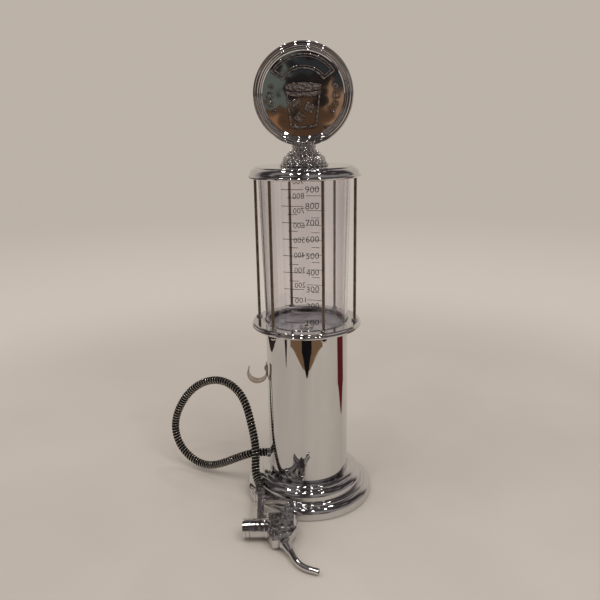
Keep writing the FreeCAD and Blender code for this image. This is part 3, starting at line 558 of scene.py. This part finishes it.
def tank_scale(name, turn):
    """One printed scale: long lines and numbers at each 100 ml, short lines between them."""
    points, faces = [], []

    def add(part_points, part_faces):
        start = len(points)
        points.extend(part_points)
        faces.extend(tuple(start + k for k in face) for face in part_faces)

    for mark in range(1, MARKS + 1):
        millilitres = MARK_EVERY * mark
        height = mark_height(millilitres)
        numbered = mark % 2 == 0
        line_start, line_stop = LONG_MARK if numbered else SHORT_MARK
        add(*printed_line(turn + line_start, turn + line_stop, height))
        if numbered:
            add(*printed_number(str(millilitres), turn + NUMBER_START, height))
    piece = add_mesh(name, points, faces)
    piece.data.materials.append(bpy.data.materials["printed_ink"])
    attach(piece, "pump")


# ---- hose -------------------------------------------------------------------------------------------


def hose_line():
    """Centres of the hose from the column's fitting, round its loop, to the nozzle's ferrule."""
    low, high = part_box("outlet_fitting")
    start = np.array((HOSE_START_X, 0.0, (low[2] + high[2]) / 2))
    way_out = np.array((-1.0, 0.0, 0.0))
    pivot = np.array(JOINTS["nozzle_turn"]["pos_m"])
    way_in = np.array(JOINTS["nozzle_turn"]["axis"])
    end = pivot - way_in * PIVOT_TO_HOSE
    leave, arrive = start + way_out * BARB_COVER, end - way_in * BARB_COVER
    points = [leave, *(np.array(bend) * MM for bend in HOSE_BENDS), arrive]
    middle = clamped_spline(points, way_out, way_in, 1.0 * MM)
    return np.concatenate(([start], middle, [end]))


def make_hose(skin_look, wire_look):
    """Black hose that swells between the turns of the steel wire wound on it."""
    line = hose_line()
    places, centres = resampled(line, WIRE_PITCH / STEPS_PER_TURN)
    wound = (2 * math.pi * places / WIRE_PITCH)[:, None]
    from_wire = wound - np.linspace(0, 2 * math.pi, HOSE_SIDES, endpoint=False)
    swell = HOSE_SWELL * np.sqrt(0.5 - 0.5 * np.cos(from_wire))
    skin = tube_mesh("hose_skin", centres, HOSE_WAIST + swell, HOSE_SIDES)
    skin.data.materials.append(skin_look)
    across, over = travelling_frame(centres)
    coil = centres + WIRE_CIRCLE * (np.cos(wound) * across + np.sin(wound) * over)
    wire = tube_mesh("hose_wire", coil, WIRE_RADIUS, WIRE_SIDES)
    wire.data.materials.append(wire_look)
    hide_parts("hose_tube")
    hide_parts("hose_armour")
    for piece in (skin, wire):
        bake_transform(piece)


# ---- valve spring ----------------------------------------------------------------------------------------


def make_valve_spring(look):
    """Coil between the bonnet and the valve head; it moves with the nozzle and keeps its length."""
    low, high = (np.array(corner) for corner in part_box("valve_spring"))
    bonnet_end, head_end = low[0], high[0]
    _, axis_y, axis_z = sum(np.array(corner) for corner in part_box("valve_plunger")) / 2
    angles = np.linspace(0, 2 * math.pi * SPRING_TURNS, SPRING_STEPS_PER_TURN * SPRING_TURNS)
    along = np.linspace(bonnet_end + SPRING_WIRE, head_end - SPRING_WIRE, len(angles))
    aside = axis_y + SPRING_CIRCLE * np.cos(angles)
    above = axis_z + SPRING_CIRCLE * np.sin(angles)
    coil = np.stack((along, aside, above), axis=1)
    spring = tube_mesh("valve_spring_coil", coil, SPRING_WIRE, SPRING_SIDES)
    spring.data.materials.append(look)
    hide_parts("valve_spring")
    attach(spring, "nozzle")
    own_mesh(spring)


# ---- floor, room and lights ---------------------------------------------------------------------------

BACKDROP = (0.50, 0.443, 0.39)
BACKDROP_LIT_FOOT = (0.60, 0.535, 0.47)    # painted light: the backdrop glows lighter where the floor starts to run into it, as the lit table does
SOFT_LIGHT = (0.55, 0.525, 0.50)       # the surround as matt surfaces see it
FLOOR_HALF = 4.0
FLOOR_DROP = 0.2 * MM                  # keeps the floor clear of the base that stands on it
FOOT_SPREAD = 0.12                     # how much further off the sides of a dark thing stand than its middle
ROOM_THINGS = (
    # dark things that the chrome sees: from and to in degrees round the front towards +X, distance, colour
    (-150.0, -79.0, 0.50, (0.030, 0.020, 0.016)),
    (-62.0, -54.0, 0.45, (0.010, 0.008, 0.010)),
    (-46.0, 44.0, 0.44, (0.17, 0.10, 0.055)),
    (-14.0, 13.0, 0.41, (0.008, 0.007, 0.008)),
    (91.0, 118.0, 0.24, (0.10, 0.014, 0.016)),
)
LAMP_COLOUR = (1.0, 0.97, 0.93)
LAMP_AIM = (0.0, 0.0, 0.2)
CEILING_LAMPS = ((-0.75, -0.9, 2.1), (-0.25, -0.6, 2.2), (0.2, -1.2, 2.2), (0.75, -0.7, 2.1),
                 (0.5, 0.9, 2.2), (-0.6, 0.8, 2.2))
CAMERA_PLACE = (0.0, -0.6602, 0.4072)
CAMERA_LENS = 38.24
CAMERA_PITCH, CAMERA_YAW, CAMERA_ROLL = 0.270, 0.010, -0.017


def room_things(tree, azimuth, distance=None):
    """Colour and cover of the dark things; given a distance, each starts at its own place on the floor."""
    colour, cover = (0.02, 0.02, 0.02), 0.0
    for start, stop, near, tint in ROOM_THINGS:
        middle, half = (start + stop) / 2, (stop - start) / 2
        aside = math_node(tree, "ABSOLUTE", math_node(tree, "SUBTRACT", azimuth, middle))
        covered = smooth_range(tree, aside, half * 0.94, half, 1.0, 0.0)
        if distance is not None:
            foot = smooth_range(tree, aside, 0.0, half, near, near + FOOT_SPREAD)
            started = math_node(tree, "GREATER_THAN", distance, foot)
            covered = math_node(tree, "MULTIPLY", covered, started)
        colour = mix_colour(tree, covered, colour, tint)
        cover = math_node(tree, "MAXIMUM", covered, cover)
    return colour, cover


def azimuth_of(tree, x, y):
    """Degrees from -Y towards +X."""
    turn = math_node(tree, "ARCTAN2", x, math_node(tree, "MULTIPLY", y, -1.0))
    return math_node(tree, "DEGREES", turn)


def far_end_of_room(tree, x, z, shapes):
    """What a flat mirror on the front sees: dark above, grey-green and tan shapes, brown below."""
    wander = product(tree, math_node(tree, "SUBTRACT", shapes, 0.5), 0.16)
    side = math_node(tree, "ADD", x, wander)
    rise = math_node(tree, "SUBTRACT", z, wander)
    above, below = (0.030, 0.033, 0.036), (0.085, 0.045, 0.025)
    colour = mix_colour(tree, smooth_range(tree, rise, 0.050, 0.066), below, above)
    wall = product(tree, smooth_range(tree, side, -0.022, -0.016, 1.0, 0.0),
                   smooth_range(tree, rise, 0.030, 0.034))
    colour = mix_colour(tree, wall, colour, (0.115, 0.125, 0.110))
    arm = product(tree, smooth_range(tree, side, 0.030, 0.036),
                  smooth_range(tree, rise, 0.054, 0.060, 1.0, 0.0))
    colour = mix_colour(tree, arm, colour, (0.33, 0.19, 0.11))
    corner = product(tree, smooth_range(tree, side, -0.040, -0.034, 1.0, 0.0),
                     smooth_range(tree, rise, 0.012, 0.018, 1.0, 0.0))
    colour = mix_colour(tree, corner, colour, (0.28, 0.14, 0.07))
    return mix_colour(tree, smooth_range(tree, shapes, 0.53, 0.55), colour, (0.016, 0.013, 0.012))


def world_noise(tree, way, scale):
    """Soft shapes all round the room."""
    texture = node(tree, "ShaderNodeTexNoise")
    texture.inputs["Scale"].default_value = scale
    texture.inputs["Detail"].default_value = 3.0
    link(tree, way, texture.inputs["Vector"])
    return texture.outputs["Fac"]


def make_world():
    """Pale surround for the eye and for soft light; reflections also see the room in front."""
    world = bpy.data.worlds.new("surround")
    bpy.context.scene.world = world
    world.use_nodes = True
    tree = world.node_tree
    way = node(tree, "ShaderNodeTexCoord").outputs["Generated"]
    split = node(tree, "ShaderNodeSeparateXYZ")
    link(tree, way, split.inputs[0])
    x, y, z = split.outputs
    azimuth = azimuth_of(tree, x, y)
    low_colour, low_cover = room_things(tree, azimuth)
    low = mix_colour(tree, low_cover, BACKDROP, low_colour)
    high = mix_colour(tree, smooth_range(tree, world_noise(tree, way, 1.7), 0.44, 0.58),
                      (0.045, 0.034, 0.036), (0.24, 0.22, 0.21))
    front = mix_colour(tree, smooth_range(tree, z, -0.01, 0.03), low, high)
    ahead = math_node(tree, "ABSOLUTE", azimuth)
    window = product(tree, smooth_range(tree, ahead, 5.5, 7.5, 1.0, 0.0),
                     smooth_range(tree, z, -0.06, -0.04), smooth_range(tree, z, 0.16, 0.20, 1.0, 0.0))
    front = mix_colour(tree, window, front, far_end_of_room(tree, x, z, world_noise(tree, way, 26.0)))
    behind = product(tree, smooth_range(tree, y, 0.35, 0.65), smooth_range(tree, z, 0.50, 0.75, 1.0, 0.0))
    seen_by_chrome = mix_colour(tree, behind, front, BACKDROP)
    path = node(tree, "ShaderNodeLightPath")
    soft = mix_colour(tree, path.outputs["Is Diffuse Ray"], BACKDROP, SOFT_LIGHT)
    seen = mix_colour(tree, path.outputs["Is Glossy Ray"], soft, seen_by_chrome)
    link(tree, seen, tree.nodes["Background"].inputs["Color"])


def glow(tree, colour):
    """Surface that shines with this colour, whatever light falls on it; returns its socket."""
    shining = node(tree, "ShaderNodeEmission")
    link(tree, colour, shining.inputs["Color"])
    return shining.outputs[0]


def make_floor():
    """Pale table, a little glossy, that runs into the backdrop; in reflections dark things stand on it."""
    corners = [(-FLOOR_HALF, -FLOOR_HALF, -FLOOR_DROP), (FLOOR_HALF, -FLOOR_HALF, -FLOOR_DROP),
               (FLOOR_HALF, FLOOR_HALF, -FLOOR_DROP), (-FLOOR_HALF, FLOOR_HALF, -FLOOR_DROP)]
    floor = add_mesh("floor", corners, [(0, 1, 2, 3)], smooth=False)
    material, tree, shader = new_material("pale_floor")
    clouded = smooth_range(tree, noise(tree, 3.0, detail=3.0), 0.3, 0.7)
    table = mix_colour(tree, clouded, (0.50, 0.455, 0.415), (0.55, 0.50, 0.455))
    link(tree, table, shader.inputs["Base Color"])
    shader.inputs["Roughness"].default_value = 0.32
    shader.inputs["Specular IOR Level"].default_value = 0.35
    x, y, _ = object_place(tree)
    distance = from_axis(tree, x, y)
    # painted light: the glowing backdrop is lighter near the object, as the lit table is
    backdrop = glow(tree, mix_colour(tree, smooth_range(tree, distance, 0.6, 2.5), BACKDROP_LIT_FOOT, BACKDROP))
    seen = mixed_surface(tree, smooth_range(tree, distance, 0.35, 1.0), shader.outputs[0], backdrop)
    colour, cover = room_things(tree, azimuth_of(tree, x, y), distance)
    in_gloss = node(tree, "ShaderNodeLightPath").outputs["Is Glossy Ray"]
    show(tree, mixed_surface(tree, product(tree, cover, in_gloss), seen, glow(tree, colour)))
    floor.data.materials.append(material)


def add_lamp(name, place, size, power, seen_in_gloss):
    """Round area lamp that faces the object."""
    lamp = bpy.data.lights.new(name, "AREA")
    lamp.shape = "DISK"
    lamp.size = size
    lamp.energy = power
    lamp.color = LAMP_COLOUR
    holder = bpy.data.objects.new(name, lamp)
    holder.location = place
    aim = Vector(LAMP_AIM) - Vector(place)
    holder.rotation_euler = aim.to_track_quat("-Z", "Y").to_euler()
    holder.visible_glossy = seen_in_gloss
    bpy.context.collection.objects.link(holder)


def make_lights():
    """Two large soft lamps that cast the light, and small ceiling lamps that also glint in the chrome."""
    add_lamp("soft_key", (0.7, -0.9, 1.9), 1.3, 11.0, False)
    add_lamp("soft_fill", (-1.2, -0.3, 1.6), 1.3, 4.0, False)
    for k, place in enumerate(CEILING_LAMPS):
        add_lamp("ceiling_lamp_%d" % k, place, 0.12, 2.4, True)


def make_camera():
    """Camera level with the lower half of the sign, looking slightly down."""
    data = bpy.data.cameras.new("view")
    data.lens = CAMERA_LENS
    camera = bpy.data.objects.new("view", data)
    turn = (Matrix.Rotation(CAMERA_YAW, 4, "Z") @ Matrix.Rotation(math.pi / 2 - CAMERA_PITCH, 4, "X")
            @ Matrix.Rotation(CAMERA_ROLL, 4, "Z"))
    camera.matrix_world = Matrix.Translation(CAMERA_PLACE) @ turn
    bpy.context.collection.objects.link(camera)
    bpy.context.scene.camera = camera


# ---- build -----------------------------------------------------------------------------------------------
paint_nodes()
printed_ink()
tank_scale("tank_scale_front", 0.0)
tank_scale("tank_scale_back", 180.0)
make_hose(soft_matter("hose_rubber", (0.005, 0.005, 0.005), 0.55, 900.0, 0.00005, sheen=0.12),
          plain_metal("hose_wire_steel", (0.84, 0.80, 0.72), (0.60, 0.56, 0.50), 0.25))
make_valve_spring(plain_metal("spring_steel", (0.62, 0.62, 0.63), (0.45, 0.44, 0.44), 0.32))
make_world()
make_floor()
make_lights()
make_camera()
bpy.context.scene.view_settings.view_transform = "Standard"
